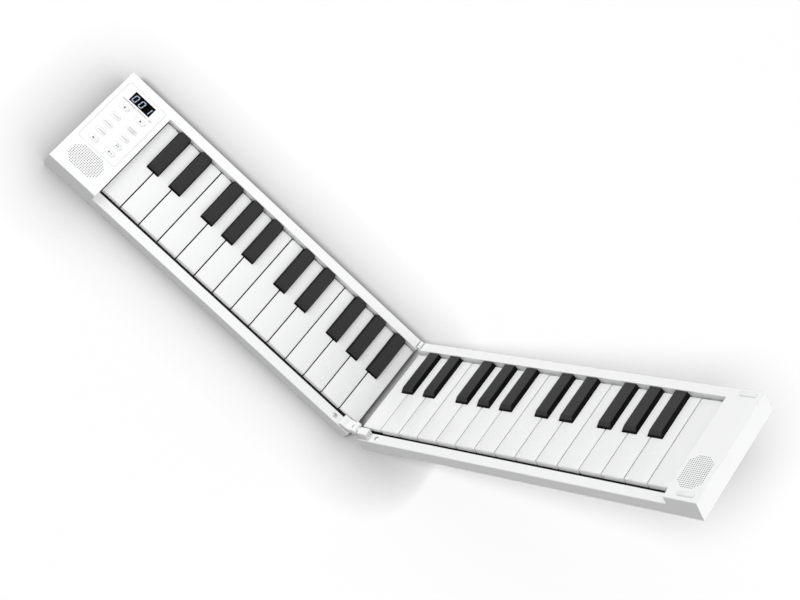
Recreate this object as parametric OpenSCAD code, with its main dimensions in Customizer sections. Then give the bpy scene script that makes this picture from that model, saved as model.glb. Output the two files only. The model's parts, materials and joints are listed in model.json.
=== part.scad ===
// Folding keyboard: a slim 49-key electronic piano in two halves.
// The left half lies flat on its feet. The right half is folded up from it on two hinges.
// Each half is drawn on its own first: x = 0 on the hinge line, the back edge at y = 0,
// the front edge at y = -case_d, and z = 0 at the case's top face.

/* [Case] */
// Depth of the case from the back edge to the front edge
case_d = 125.2; // [122:0.2:130]
// Thickness of each half without its feet
case_h = 21.1; // [20.6:0.1:24]
// Length of the solid end of the right half
right_cheek_w = 32; // [30:0.5:40]
// Width of the rail behind the keys
back_rail_w = 10.7; // [10.4:0.1:13]
// Width of the rail in front of the keys
front_rail_w = 10.4; // [10:0.1:13]
// How far the front rail lies below the top face
front_rail_drop = 8.9; // [8:0.1:9.5]
// Wall of the case
wall = 2.2; // [1.8:0.1:2.4]
// Thinner walls that face the keys
inner_wall = 1.5; // [1.2:0.1:1.8]
// Thickness of the bottom shell's floor
floor_t = 2.4; // [2:0.1:3]
// Gap from each case end to the hinge line
hinge_gap = 0.4; // [0.3:0.05:0.8]
// Radius of the long outer edges
edge_r = 0.8; // [0.4:0.1:1.2]

/* [Fold] */
// Angle of the right half above the flat position
fold_angle = 60; // [0:5:90]
// Height of the hinge pins above the top face
pivot_rise = 0.4; // [0.3:0.1:0.8]

/* [Keys] */
// Distance from one white key to the next
key_pitch = 23.5; // [22.5:0.1:24]
// Gap between neighbouring white keys
key_gap = 1; // [0.8:0.1:1.2]
// From the hinge line to the first key's place
key_start = 0.2; // [0.1:0.1:0.6]
// How far the white keys lie below the top face
key_drop = 4.8; // [4.6:0.1:5.4]
// Height of a white key's front lip
key_lip = 4.2; // [3.8:0.1:4.4]
// Gap between the white keys and the back rail
key_rear_gap = 1.9; // [1.5:0.1:2.5]
// Gap between the white keys and the front rail
key_front_gap = 3.2; // [2.6:0.1:4]
// Rounding along a white key's front edge
key_edge_r = 0.8; // [0.4:0.1:1.2]
// Skin of the hollow keys
key_skin = 1.4; // [1.2:0.1:1.8]
// Gap between the left cheek and its first key's place
left_key_clear = 0.3; // [0.2:0.1:1]
// Gap between the right cheek and its last key's place
right_key_clear = 1.3; // [0.5:0.1:2]

/* [Black keys] */
// Width of a black key at the white keys' level
black_w = 15.1; // [14:0.1:15.4]
// Width of a black key's top
black_top_w = 11.9; // [11:0.1:12.5]
// Length of a black key
black_len = 52.4; // [48:0.2:55]
// How far a black key's top lies below the top face
black_drop = 0.8; // [0.6:0.1:1.4]
// Gap between a black key and the back rail
black_rear_gap = 0.5; // [0.4:0.1:1]
// Gap between a black key and the white keys beside it
black_clear = 0.8; // [0.6:0.1:1]
// Shift of the two-key group's keys away from each other
pair_spread = 2.1; // [1.8:0.1:2.4]
// Shift of the three-key group's outer keys away from each other
trio_spread = 3.1; // [2.8:0.1:3.3]
// Shift of all black keys to the right
black_shift = 0.6; // [0:0.1:0.8]

/* [Key pivots] */
// Distance of the pivot bar from the back edge
pivot_back = 5.7; // [5.6:0.1:5.9]
// Depth of the pivot bar below the top face
pivot_drop = 10.2; // [10:0.1:10.8]
// Radius of the pivot bar
pivot_bar_r = 1.2; // [1:0.05:1.3]
// Play between a key's hook and the pivot bar
pivot_clear = 0.05; // [0.03:0.01:0.08]
// Wall of a key's hook
hook_wall = 1.15; // [0.9:0.05:1.2]
// Width of the tongue that carries a key to its hook
tongue_w = 8; // [6:0.2:8.4]
// Thickness of that tongue
tongue_t = 1.6; // [1.4:0.1:1.8]
// Gap between the tongues and the skirt of the back rail
tongue_clear = 0.4; // [0.3:0.1:0.6]

/* [Hinges] */
// Radius of the hinge pins
pin_r = 1; // [0.8:0.05:1.2]
// Play between a pin and its knuckles
pin_clear = 0.05; // [0.03:0.01:0.08]
// Radius of the front hinge's knuckles
front_knuckle_r = 3; // [2.4:0.1:3.2]
// Radius of the back hinge's knuckles
back_knuckle_r = 2.3; // [2:0.1:2.5]
// Gap between neighbouring knuckles
knuckle_gap = 0.2; // [0.15:0.05:0.3]
// Free space round a knuckle
knuckle_clear = 0.4; // [0.3:0.1:0.6]
// Length of the front hinge's raised blocks from the hinge line
block_l = 14.5; // [12:0.5:18]
// Height of the left block above the front rail
left_block_h = 5.4; // [4.5:0.1:6]
// Height of the right block above the front rail
right_block_h = 7.6; // [6:0.1:8]
// Distance from the hinge line to the screws beside the blocks
screw_from_hinge = 22; // [20:0.5:26]
// Radius of the recess round each of those screws
screw_recess_r = 2.4; // [2:0.1:2.6]
// Length of the slope from a block's top up to the knuckles
block_slope = 4.5; // [2:0.5:6]
// Thickness of the back hinge's hidden plates
leaf_t = 1.4; // [1:0.1:1.6]
// Length of the back hinge's hidden plates
leaf_l = 16; // [12:0.5:20]

/* [Control panel] */
// Length of the panel sheet along the keyboard
panel_w = 45.6; // [42:0.2:47]
// Depth of the panel sheet
panel_d = 79.4; // [78:0.2:80]
// Distance of the panel from the back edge
panel_back = 10.1; // [9:0.1:10.5]
// Thickness of the panel sheet
panel_t = 0.5; // [0.4:0.1:0.8]
// Groove round the panel sheet
panel_groove = 0.3; // [0.2:0.05:0.4]
// Corner radius of the panel sheet
panel_r = 2.5; // [1.5:0.5:4]
// Length of the display window
display_w = 25.1; // [22:0.1:27]
// Depth of the display window
display_d = 11.7; // [10:0.1:13]
// From the panel's back edge to the display's centre
display_back = 9.6; // [9:0.1:10]
// Distance between the two columns of buttons
button_columns = 20.4; // [18:0.2:22]
// Length of a button
button_l = 11.2; // [9:0.1:11.6]
// Width of a button
button_w = 6; // [5:0.1:6.4]
// How far the buttons stand above the top face
button_rise = 0.35; // [0.3:0.05:0.6]
// Travel of the buttons
button_travel = 0.4; // [0.3:0.05:0.45]
// Gap round each button
button_clear = 0.1; // [0.1:0.05:0.3]

/* [Speaker grilles] */
// Distance between the rows of holes
hole_pitch = 2; // [1.9:0.05:2.1]
// Radius of a hole
hole_r = 0.42; // [0.3:0.02:0.5]
// Holes along a grille
long_holes = 18; // [12:2:18]
// Holes across a grille
short_holes = 12; // [8:2:12]
// Distance of the left grille's centre from the back edge
left_grille_back = 104.4; // [103.6:0.1:105]
// Distance of the right grille's centre from the back edge
right_grille_back = 94.4; // [94:0.2:96]
// Distance of the right grille's centre from the outer end
right_grille_in = 17; // [16:0.5:17]
// Thickness of the dust screen under a grille
screen_t = 0.6; // [0.4:0.1:1]

/* [Feet and pads] */
// Radius of a foot
foot_r = 6; // [4:0.5:7]
// Height of a foot
foot_h = 1.5; // [1:0.1:3]
// Length of a closing pad
pad_l = 16.6; // [12:0.2:18]
// Width of a closing pad
pad_w = 5.6; // [4:0.2:6]
// Height of a closing pad
pad_h = 1; // [0.9:0.1:1.2]

/* [Hidden] */
$fn = 48;
join = 0.01;                       // overlap that fuses two solids of one piece
left_whites = 14;
right_whites = 15;
octave = 7;
key_bank_left = left_whites * key_pitch;
key_bank_right = right_whites * key_pitch;
half_len = key_start + key_bank_right + right_key_clear + right_cheek_w;
left_cheek_w = half_len - key_start - key_bank_left - left_key_clear;
floor_z = -case_h + floor_t;       // inside of the floor, where the two shells meet
white_top = -key_drop;
white_base = -key_drop - key_lip;
skirt_z = white_base + tongue_t + tongue_clear;
key_back = back_rail_w + key_rear_gap;
key_front = case_d - front_rail_w - key_front_gap;
black_back = back_rail_w + black_rear_gap;
black_front = black_back + black_len;
notch_y = black_front + black_clear;
bore_r = pivot_bar_r + pivot_clear;
hook_r = bore_r + hook_wall;
pivot_z = -pivot_drop;

// The left half's hinge line in the finished object, centred over its footprint
reach = half_len * cos(fold_angle) + (case_h + pivot_rise) * sin(fold_angle);
hinge_x = (half_len - reach) / 2;
hinge_y = case_d / 2;
hinge_z = case_h + foot_h;

white = "white";
ivory = [0.95, 0.95, 0.95];
ebony = [0.13, 0.13, 0.14];

white_names = [for (k = [1:left_whites + right_whites]) str("white_key_", k)];
black_names = [for (k = [1:8]) str("black_keys_", k)];

// ---- Placing the two halves ------------------------------------------------------------

// The left half as the player sees it, with x below 0
module left_half() translate([hinge_x, hinge_y, hinge_z]) children();

// The left half drawn outwards from the hinge, with x above 0, and turned over
module left_mirrored() left_half() mirror([1, 0, 0]) children();

// The right half, folded up about the hinge pins
module right_half() left_half()
    translate([0, 0, pivot_rise]) rotate([0, -fold_angle, 0]) translate([0, 0, -pivot_rise])
        children();

// A block between two corners, with its sizes always positive
module block(a, b)
    translate([min(a.x, b.x), min(a.y, b.y), min(a.z, b.z)])
        cube([abs(b.x - a.x), abs(b.y - a.y), abs(b.z - a.z)]);

// A profile in y and z, drawn out along x
module along_x(from, to) translate([from, 0, 0]) rotate([90, 0, 90])
    linear_extrude(to - from) children();

// A profile in x and z, drawn out along y between two distances from the back edge
module along_y(from, to) translate([0, -from, 0]) rotate([90, 0, 0])
    linear_extrude(to - from) children();

// Points of a quarter arc, from one angle to another
function arc(centre, r, from, to, steps = 4) =
    [for (i = [0:steps]) let (a = from + (to - from) * i / steps)
        [centre.x + r * cos(a), centre.y + r * sin(a)]];

module rounded_slab(w, d, r)
    polygon(concat(
        arc([w / 2 - r, d / 2 - r], r, 0, 90), arc([-w / 2 + r, d / 2 - r], r, 90, 180),
        arc([-w / 2 + r, -d / 2 + r], r, 180, 270), arc([w / 2 - r, -d / 2 + r], r, 270, 360)));

// ---- Keys ------------------------------------------------------------------------------

// A black key follows the notes C, D, F, G and A
function has_black(note) = note != 2 && note != 6;
function black_offset(note) = black_shift
    + (note == 0 ? -pair_spread : note == 1 ? pair_spread
     : note == 3 ? -trio_spread : note == 5 ? trio_spread : 0);

// Left and right sides of a white key between the black keys
function rear_left(note) = has_black((note + 6) % octave)
    ? black_offset((note + 6) % octave) + black_w / 2 + black_clear : key_gap / 2;
function rear_right(note, last) = has_black(note) && !last
    ? key_pitch + black_offset(note) - black_w / 2 - black_clear : key_pitch - key_gap / 2;

// A hook that clips over the pivot bar from above
module pivot_hook(x, front) difference() {
    union() {
        block([x - tongue_w / 2, -front, white_base],
              [x + tongue_w / 2, -pivot_back, white_base + tongue_t]);
        along_x(x - tongue_w / 2, x + tongue_w / 2)
            translate([-pivot_back, pivot_z]) circle(hook_r);
    }
    along_x(x - tongue_w, x + tongue_w) translate([-pivot_back, pivot_z]) circle(bore_r);
    block([x - tongue_w, -pivot_back - bore_r * 0.8, pivot_z],
          [x + tongue_w, -pivot_back + bore_r * 0.8, pivot_z - 2 * hook_r]);
}

// A white key: a hollow cap with a rounded front edge, narrower between the black keys
module white_key(note, last) color(ivory) {
    left = rear_left(note);
    right = rear_right(note, last);
    front_left = key_gap / 2;
    front_right = key_pitch - key_gap / 2;
    difference() {
        intersection() {
            translate([0, 0, white_base]) linear_extrude(key_lip) polygon([
                [front_left, -key_front], [front_right, -key_front],
                [front_right, -notch_y], [right, -notch_y],
                [right, -key_back], [left, -key_back],
                [left, -notch_y], [front_left, -notch_y]]);
            along_x(0, key_pitch) polygon(concat(
                [[-key_back, white_base], [-key_back, white_top]],
                arc([-key_front + key_edge_r, white_top - key_edge_r], key_edge_r, 90, 180),
                [[-key_front, white_base]]));
        }
        block([front_left + key_skin, -key_front + key_skin, white_base - 1],
              [front_right - key_skin, -notch_y - key_skin, white_top - key_skin]);
        block([left + key_skin, -notch_y - key_skin - join, white_base - 1],
              [right - key_skin, -key_back - 2 * key_skin, white_top - key_skin]);
    }
    plunger((left + right) / 2, white_top - key_skin + join, plunger_z);
    pivot_hook((left + right) / 2, key_back + key_skin);
}
plunger_w = 2.4;
plunger_z = white_base - 0.6;
black_plunger_z = white_base - 0.3;

// A short rib that pushes down the rubber dome under its key
module plunger(x, top, bottom)
    block([x - plunger_w / 2, -dome_back - plunger_w / 2, bottom],
          [x + plunger_w / 2, -dome_back + plunger_w / 2, top]);

// One black key: hollow, with sloping sides and a front that falls away in two slopes
module black_key() {
    difference() {
        intersection() {
            along_y(black_back, black_front) polygon([
                [-black_w / 2, white_base], [black_w / 2, white_base],
                [black_w / 2, white_top],
                [black_top_w / 2 + black_edge, -black_drop - black_edge],
                [black_top_w / 2, -black_drop], [-black_top_w / 2, -black_drop],
                [-black_top_w / 2 - black_edge, -black_drop - black_edge],
                [-black_w / 2, white_top]]);
            along_x(-black_w, black_w) polygon([
                [-black_back, white_base], [-black_back, -black_drop],
                [-black_front + black_slope, -black_drop],
                [-black_front + black_nose, white_top + black_nose_h],
                [-black_front, white_top - black_nose], [-black_front, white_base]]);
        }
        block([-black_top_w / 2 + key_skin, -key_back - comb_depth - key_skin,
               white_base - 1],
              [black_top_w / 2 - key_skin, -black_front + black_slope,
               -black_drop - key_skin]);
    }
    plunger(0, -black_drop - key_skin + join, black_plunger_z);
}
black_edge = 0.3;
black_slope = 4.2;
black_nose = 0.7;
black_nose_h = 1.4;

// The rail under the key tails that joins a group of black keys
comb_depth = 3.5;
comb_gap = 1.8;
comb_t = 1.7;

// A group of black keys on one moulded comb; the notes count from the octave's C
module black_group(notes) color(ebony) {
    comb_y = -key_back;
    for (note = notes) translate([(note + 1) * key_pitch + black_offset(note), 0, 0]) {
        black_key();
        pivot_hook(0, black_back + key_skin);
        block([-tongue_w / 2, comb_y, white_base + join],
              [tongue_w / 2, comb_y - comb_depth, white_base - comb_gap - comb_t]);
    }
    first = notes[0];
    final = notes[len(notes) - 1];
    block([(first + 1) * key_pitch + black_offset(first), comb_y, white_base - comb_gap],
          [(final + 1) * key_pitch + black_offset(final), comb_y - comb_depth,
           white_base - comb_gap - comb_t]);
}

// ---- Case ------------------------------------------------------------------------------

lip_t = 1.2;
lip_h = 3;
lip_fit = 0.15;
end_wall_drop = 13.4;
rest_t = 1.5;
strip_inset = 3;
strip_front = 70;
strip_back = 35;
strip_t = 1.6;
strip_z = -15;
dome_r = 3;
dome_back = (strip_back + strip_front) / 2;
dome_h = 3.7;
leaf_clear = 0.1;

// The long top face of a half, with its outer edge rounded over
module rail_profile(front, back, top) polygon(concat(
    [[front, floor_z]],
    arc([front + edge_r, top - edge_r], edge_r, 180, 90),
    arc([back - edge_r, top - edge_r], edge_r, 90, 0),
    [[back, floor_z]]));

// Top shell of a half, drawn outwards from the hinge line
module top_shell(cheek_w) {
    cheek_x = half_len - cheek_w;
    front_in = -case_d + front_rail_w;
    difference() {
        union() {
            along_x(hinge_gap, half_len) difference() {
                rail_profile(-back_rail_w - edge_r, 0, 0);
                translate([-back_rail_w - 2 * edge_r, -case_h])
                    square([2 * edge_r, 2 * case_h]);
            }
            along_x(hinge_gap, half_len) difference() {
                rail_profile(-case_d, front_in + edge_r, -front_rail_drop);
                translate([front_in, -case_h]) square([2 * edge_r, 2 * case_h]);
            }
            along_x(cheek_x, half_len) rail_profile(-case_d, 0, 0);
        }
        // hollow of the back rail, and the gap under its skirt for the key tails
        block([hinge_gap + inner_wall, -back_rail_w + inner_wall, -wall],
              [half_len - wall, -wall, -case_h]);
        block([hinge_gap + inner_wall, -back_rail_w - 1, skirt_z],
              [cheek_x, -wall - inner_wall, -case_h]);
        // opening that the bottom shell's end rib closes
        block([0, -pivot_back + rib_d / 2 + lip_fit, pivot_z + pivot_bar_r + lip_fit],
              [hinge_gap + 2 * inner_wall, -pivot_back - rib_d / 2 - lip_fit, -case_h]);
        // hollow of the front rail
        block([hinge_gap + inner_wall, -case_d + wall, -front_rail_drop - wall],
              [half_len - wall, front_in - inner_wall, -case_h]);
        // hollow of the cheek
        block([cheek_x + inner_wall, -case_d + wall, -wall], [half_len - wall, -wall, -case_h]);
        // recess for the screw beside the front hinge
        translate([screw_from_hinge, -screw_back, -front_rail_drop - screw_recess])
            cylinder(r = screw_recess_r, h = 2 * screw_recess);
        // pocket for the back hinge
        block([0, -hinge_edge, 1],
              [back_knuckle_r + 2 * knuckle_clear, -back_rail_w + hinge_edge,
               -wall - leaf_t - leaf_clear]);
    }
}
hinge_edge = 0.9;
screw_front = 5.8;
screw_back = case_d - screw_front;
screw_recess = 1.2;

// Bottom shell of a half: a floor with a locating lip, ribs and the moulded pivot bar.
// The ribs stand at the places where two white keys meet with no black key between them.
module bottom_shell(bank, cheek_w, rib_keys) {
    cheek_x = half_len - cheek_w;
    edge = wall + lip_fit;
    lip_top = floor_z + lip_h;
    end_x = key_start + bank;
    block([hinge_gap, 0, -case_h], [half_len, -case_d, floor_z]);
    // locating lip along the back, the outer end and the front
    block([3 * hinge_gap + inner_wall, -edge, floor_z - join],
          [half_len - edge, -edge - lip_t, lip_top]);
    block([3 * hinge_gap + inner_wall, -case_d + edge, floor_z - join],
          [half_len - edge, -case_d + edge + lip_t, lip_top]);
    block([half_len - edge - lip_t, -edge, floor_z - join],
          [half_len - edge, -case_d + edge, lip_top]);
    // low wall at the hinge end, between the rails
    block([hinge_gap, -back_rail_w - lip_fit, floor_z - join],
          [hinge_gap + inner_wall, -case_d + front_rail_w + lip_fit, -end_wall_drop]);
    // pivot bar and the ribs that carry it
    along_x(key_start + rib_t / 2, end_x) translate([-pivot_back, pivot_z])
        circle(pivot_bar_r);
    for (k = rib_keys) {
        mid = key_start + k * key_pitch;
        from = k == 0 ? hinge_gap : k * key_pitch == bank ? mid - rib_t : mid - rib_t / 2;
        block([from, -pivot_back + rib_d / 2, floor_z - join],
              [from + (k == 0 ? inner_wall : rib_t), -pivot_back - rib_d / 2,
               pivot_z + pivot_bar_r]);
    }
    // rests for the contact strip
    for (y = [strip_back + rest_t, strip_front - 2 * rest_t])
        block([key_start + rest_t, -y, floor_z - join],
              [end_x - rest_t, -y - rest_t, strip_z - strip_t]);
}
rib_t = 2;
rib_d = 6.8;

// ---- The left half's cover -------------------------------------------------------------

panel_shift = 0.4;
left_middle = half_len - left_cheek_w / 2 + panel_shift;
panel_y = panel_back + panel_d / 2;
display_y = panel_back + display_back;
board_z = -5;
board_t = 1.6;
board_w = 48;
board_d = 76;
board_back = panel_y - board_d / 2;
post_r = 2.4;
post_inset = 2.6;
socket_z = board_z - board_t - 3.2;
socket_r = 1.8;
socket_back = [30, 44];
charge_back = 60;
charge_w = 9.2;
charge_h = 3.4;
power_r = 3;
power_clear = 0.2;
power_travel = 0.6;
power_inset = 14;

// Distances of the five rows of buttons from the back edge
button_rows = [35.1, 48.6, 59.9, 70.7, 81.3];

module button_shapes(grow) for (side = [-1, 1], y = button_rows)
    translate([left_middle + side * button_columns / 2, -y])
        rounded_slab(button_l + 2 * grow, button_w + 2 * grow, button_w / 2 + grow - join);

module left_cover() color(white) left_mirrored() {
    difference() {
        top_shell(left_cheek_w);
        // recess for the panel sheet
        translate([left_middle, -panel_y, -panel_t]) linear_extrude(1)
            rounded_slab(panel_w + 2 * panel_groove, panel_d + 2 * panel_groove,
                         panel_r + panel_groove);
        // openings for the display and the buttons
        translate([left_middle, -display_y, -2 * wall]) linear_extrude(3 * wall)
            square([display_w + 2 * button_clear, display_d + 2 * button_clear], center = true);
        translate([0, 0, -2 * wall]) linear_extrude(3 * wall) button_shapes(button_clear);
        // the speaker grille's holes
        translate([left_middle, -left_grille_back, -2 * wall]) linear_extrude(3 * wall)
            grille_holes();
        // sockets in the end face and the hole for the power button in the back
        for (y = socket_back) translate([half_len, -y, socket_z]) rotate([0, 90, 0])
            cylinder(r = socket_r, h = 3 * wall, center = true);
        translate([half_len, -charge_back, socket_z]) rotate([90, 0, 90])
            linear_extrude(3 * wall, center = true)
                rounded_slab(charge_w, charge_h, charge_h / 2 - join);
        translate([half_len - power_inset, 0, socket_z]) rotate([90, 0, 0])
            cylinder(r = power_r + power_clear, h = 3 * wall, center = true);
    }
    // posts that the main board hangs from
    for (sx = [-1, 1], sy = [-1, 1])
        translate([left_middle + sx * (board_w / 2 - post_inset),
                   -panel_y + sy * (board_d / 2 - post_inset), board_z])
            cylinder(r = post_r, h = -board_z - wall + join);
}

module right_cover() color(white) right_half() difference() {
    top_shell(right_cheek_w);
    translate([half_len - right_grille_in, -right_grille_back, -2 * wall])
        linear_extrude(3 * wall) rotate(90) grille_holes();
}

// ---- Hinges ----------------------------------------------------------------------------

block_overhang = 1.2;
hinge_front_inset = 0.6;
front_hinge_back = case_d - front_rail_w - block_overhang;
front_hinge_front = case_d - hinge_front_inset;
back_hinge_back = hinge_edge + knuckle_clear;
back_hinge_front = back_rail_w - hinge_edge - knuckle_clear;
leaf_edge = 0.3;

// The knuckles that belong to one leaf: the outer two, or the middle one
function knuckle_spans(from, to, outer) = let (step = (to - from) / 3)
    outer ? [[from, from + step - knuckle_gap / 2], [to - step + knuckle_gap / 2, to]]
          : [[from + step + knuckle_gap / 2, to - step - knuckle_gap / 2]];

// Front leaf: a block screwed to the front rail, with arms up to the knuckles. Its top
// slopes up to them, and its outer end may have a shallow pocket.
module front_leaf(block_h, from, to, outer) {
    rail_z = -front_rail_drop;
    top_z = rail_z + block_h;
    free_x = front_knuckle_r + knuckle_clear;
    slope_z = max(top_z, -edge_r);
    arm_x = 2 * hinge_gap;
    difference() {
        union() {
            along_y(from, to) polygon([
                [free_x, rail_z], [block_l, rail_z], [block_l, top_z - edge_r],
                [block_l - edge_r, top_z], [free_x + block_slope, top_z],
                [free_x, slope_z]]);
            for (span = knuckle_spans(front_hinge_back, front_hinge_front, outer))
                along_y(span[0], span[1]) {
                    translate([0, pivot_rise]) circle(front_knuckle_r);
                    polygon([[arm_x, rail_z], [free_x + join, rail_z],
                             [free_x + join, slope_z],
                             [front_knuckle_r * 0.7, pivot_rise + front_knuckle_r * 0.7],
                             [0, pivot_rise], [arm_x, pivot_rise - front_knuckle_r]]);
                }
        }
        along_y(front_hinge_back - 1, front_hinge_front + 1)
            translate([0, pivot_rise]) circle(pin_r + pin_clear);
        if (!outer) block([block_l - pocket_depth, -from - pocket_frame, rail_z + pocket_frame],
                          [block_l + 1, -to + pocket_frame, top_z - pocket_frame]);
    }
}
pocket_depth = 1.6;
pocket_frame = 1.5;

// Back leaf: a plate under the back rail's top wall, with arms out to the knuckles
module back_leaf(outer) {
    free_x = back_knuckle_r + 2 * knuckle_clear + leaf_edge;
    top_z = -wall;
    difference() {
        union() {
            along_y(wall + leaf_edge, back_rail_w - inner_wall - leaf_edge)
                translate([free_x - join, top_z - leaf_t]) square([leaf_l - free_x, leaf_t]);
            for (span = knuckle_spans(back_hinge_back, back_hinge_front, outer))
                along_y(max(span[0], wall + leaf_edge),
                        min(span[1], back_rail_w - inner_wall - leaf_edge))
                    polygon([[2 * hinge_gap, top_z - leaf_t], [free_x, top_z - leaf_t],
                             [free_x, top_z], [free_x - 2 * leaf_edge, top_z],
                             [back_knuckle_r * 0.8, -edge_r / 2],
                             [0, pivot_rise]]);
            for (span = knuckle_spans(back_hinge_back, back_hinge_front, outer))
                along_y(span[0], span[1])
                    translate([0, pivot_rise]) circle(back_knuckle_r);
        }
        along_y(0, back_rail_w) translate([0, pivot_rise]) circle(pin_r + pin_clear);
    }
}

module hinge_pins() color("silver") left_half() {
    along_y(front_hinge_back, front_hinge_front) translate([0, pivot_rise]) circle(pin_r);
    along_y(back_hinge_back, back_hinge_front) translate([0, pivot_rise]) circle(pin_r);
}

// ---- Panel, display and buttons --------------------------------------------------------

panel_sink = 0.05;
display_flange = 1.5;
mat_top = -3.1;
mat_t = 0.8;
mat_margin = 2;

module control_panel() color(white) left_mirrored()
    translate([0, 0, -panel_t]) linear_extrude(panel_t - panel_sink) difference() {
        translate([left_middle, -panel_y]) rounded_slab(panel_w, panel_d, panel_r);
        translate([left_middle, -display_y])
            square([display_w + 2 * button_clear, display_d + 2 * button_clear], center = true);
        button_shapes(button_clear);
    }

// The display module: a dark window on a wider body that stands on the main board
module display_window() color("black") left_mirrored() translate([left_middle, -display_y, 0]) {
    block([-display_w / 2, -display_d / 2, -wall - join],
          [display_w / 2, display_d / 2, -panel_sink]);
    block([-display_w / 2 - display_flange, -display_d / 2 - display_flange, board_z],
          [display_w / 2 + display_flange, display_d / 2 + display_flange, -wall]);
}

// Ten caps on one rubber mat, with two rows of contact feet under it
module button_pad() color(white) left_mirrored() {
    first_y = button_rows[0] - button_w / 2 - mat_margin;
    last_y = button_rows[4] + button_w / 2 + mat_margin;
    half_w = button_columns / 2 + button_l / 2 + mat_margin;
    difference() {
        block([left_middle - half_w, -first_y, mat_top],
              [left_middle + half_w, -last_y, mat_top - mat_t]);
        for (sx = [-1, 1], sy = [-1, 1])
            translate([left_middle + sx * (board_w / 2 - post_inset),
                       -panel_y + sy * (board_d / 2 - post_inset), 0])
                cylinder(r = post_r + 2 * button_travel, h = 4 * wall, center = true);
    }
    translate([0, 0, mat_top - join]) linear_extrude(button_rise - edge_r / 2 - mat_top + join)
        button_shapes(0);
    translate([0, 0, button_rise - edge_r / 2 - join]) linear_extrude(edge_r / 2 + join)
        button_shapes(-edge_r / 2);
    for (side = [-1, 1], y = button_rows)
        translate([left_middle + side * button_columns / 2, -y,
                   board_z + button_travel + button_clear])
            cylinder(r = button_w / 4, h = mat_top - mat_t - board_z - button_travel);
}

// A push button in the back face, held in by its own flange
module power_button() color(white) left_mirrored()
    translate([half_len - power_inset, 0, socket_z]) rotate([90, 0, 0]) {
        cylinder(r = power_r, h = wall + power_clear + join);
        translate([0, 0, wall + power_clear]) cylinder(r = power_r + 1.2, h = 1.2);
        cylinder(r = power_r / 2, h = panel_back - 1 - power_travel - power_clear);
    }

// ---- Grilles and speakers --------------------------------------------------------------

corner_steps = 3;
screen_l = 37.2;
screen_w = 25.2;
screen_corner = 6;

// Square rows of holes, with each corner cut away in three steps of one hole
module grille_holes() {
    for (row = [1:short_holes], column = [1:long_holes]) {
        from_end = min(column, long_holes + 1 - column);
        from_side = min(row, short_holes + 1 - row);
        if (from_end + from_side > corner_steps + 1)
            translate([(column - (long_holes + 1) / 2) * hole_pitch,
                       (row - (short_holes + 1) / 2) * hole_pitch])
                circle(hole_r, $fn = 16);
    }
}

module speaker_outline(long, short, corner) polygon([
    [-long / 2 + corner, -short / 2], [long / 2 - corner, -short / 2],
    [long / 2, -short / 2 + corner], [long / 2, short / 2 - corner],
    [long / 2 - corner, short / 2], [-long / 2 + corner, short / 2],
    [-long / 2, short / 2 - corner], [-long / 2, -short / 2 + corner]]);

// A thin dark dust screen, glued under the top wall behind the holes
module speaker_screen() translate([0, 0, -wall - screen_t]) linear_extrude(screen_t)
    speaker_outline(screen_l, screen_w, screen_corner);

// A small flat loudspeaker: frame, basket, magnet and surround
module speaker() {
    frame_z = -wall - screen_t;
    difference() {
        union() {
            translate([0, 0, frame_z - 1.4]) linear_extrude(1.4)
                speaker_outline(screen_l, screen_w, screen_corner);
            translate([0, 0, frame_z - 4.4]) linear_extrude(3 + join)
                rounded_slab(screen_l - 6, screen_w - 5, 6);
            translate([0, 0, frame_z - 8]) cylinder(r = 7.5, h = 3.6 + join);
        }
        translate([0, 0, frame_z - 1]) linear_extrude(2)
            rounded_slab(screen_l - 4, screen_w - 4, 7);
    }
    translate([0, 0, frame_z - 1 - join]) cylinder(r1 = 5, r2 = 3, h = 0.8);
}

// ---- Electronics -----------------------------------------------------------------------

// The chips: place from the board's centre, side and height
chips = [[-3, 1, 14, 1.2], [-12, -18, 8, 1], [7, -21, 10, 1.6]];
switch_seat = 3.3;                 // how far the switch reaches under the board
capacitor_x = -18;
capacitor_rows = [-30, 24];
capacitor_r = 3;
capacitor_h = 5;
battery_back = 13;
battery_d = 57;
battery_h = 8;
battery_edge = 1;
battery_strip_d = 3;
battery_strip_h = 4;

// The main board under the panel, with its chips and the sockets in the end face
module main_board() color("darkgreen") left_mirrored() {
    under = board_z - board_t;
    translate([left_middle, -panel_y, 0]) {
        block([-board_w / 2, -board_d / 2, under], [board_w / 2, board_d / 2, board_z]);
        for (chip = chips)
            block([chip[0] - chip[2] / 2, chip[1] - chip[2] / 2, under + join],
                  [chip[0] + chip[2] / 2, chip[1] + chip[2] / 2, under - chip[3]]);
        for (y = capacitor_rows) translate([capacitor_x, y, under - capacitor_h])
            cylinder(r = capacitor_r, h = capacitor_h + join);
    }
    end_x = half_len - wall;
    for (y = socket_back) difference() {
        block([end_x - 12, -y + 3, under + join], [end_x - lip_fit, -y - 3, socket_z - 3]);
        translate([end_x - 10, -y, socket_z]) rotate([0, 90, 0])
            cylinder(r = socket_r, h = 12);
    }
    difference() {
        block([end_x - 7.5, -charge_back + charge_w / 2 + 0.6, under + join],
              [end_x - lip_fit, -charge_back - charge_w / 2 - 0.6, socket_z - 2.4]);
        translate([end_x - 6, -charge_back, socket_z]) rotate([90, 0, 90])
            linear_extrude(10) rounded_slab(charge_w, charge_h, charge_h / 2 - join);
    }
    // switch behind the power button
    block([half_len - power_inset - 3.5, -panel_back + 1, under + join],
          [half_len - power_inset + 3.5, -board_back - switch_seat, socket_z - 3]);
}

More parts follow.
